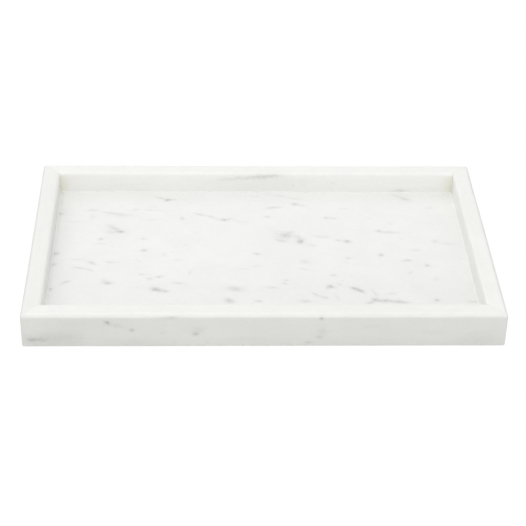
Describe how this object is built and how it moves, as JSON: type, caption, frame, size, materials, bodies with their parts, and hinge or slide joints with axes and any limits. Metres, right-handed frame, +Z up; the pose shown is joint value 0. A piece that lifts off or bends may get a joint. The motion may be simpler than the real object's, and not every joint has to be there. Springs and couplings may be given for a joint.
{
  "type": "vanity tray",
  "caption": "Rectangular white marble vanity tray: a thin floor slab glued between mitred upright rails with eased edges, on round felt feet.",
  "frame": {"origin": "middle of the tray on the plane that its felt feet stand on", "axes": "+X along the tray's length, +Y towards its back long side, +Z up"},
  "size_m": [0.3, 0.18, 0.0259],
  "materials": {
    "floor_marble": "polished, grey flecks and short streaks",
    "rail_marble": "honed, few faint veins",
    "cured_resin": "cured stone adhesive, flush and faintly yellow",
    "felt": "pressed wool-blend felt",
    "adhesive_film": "clear double-sided adhesive film"
  },
  "bodies": {
    "root": {"floor_slab": "floor_marble", "front_rail": "rail_marble", "back_rail": "rail_marble", "left_rail": "rail_marble", "right_rail": "rail_marble", "front_left_mitre_glue": "cured_resin", "front_right_mitre_glue": "cured_resin", "back_right_mitre_glue": "cured_resin", "back_left_mitre_glue": "cured_resin", "floor_glue": "cured_resin", "front_left_felt_foot": "felt", "front_right_felt_foot": "felt", "back_right_felt_foot": "felt", "back_left_felt_foot": "felt", "front_left_foot_film": "adhesive_film", "front_right_foot_film": "adhesive_film", "back_right_foot_film": "adhesive_film", "back_left_foot_film": "adhesive_film"}
  },
  "joints": []
}
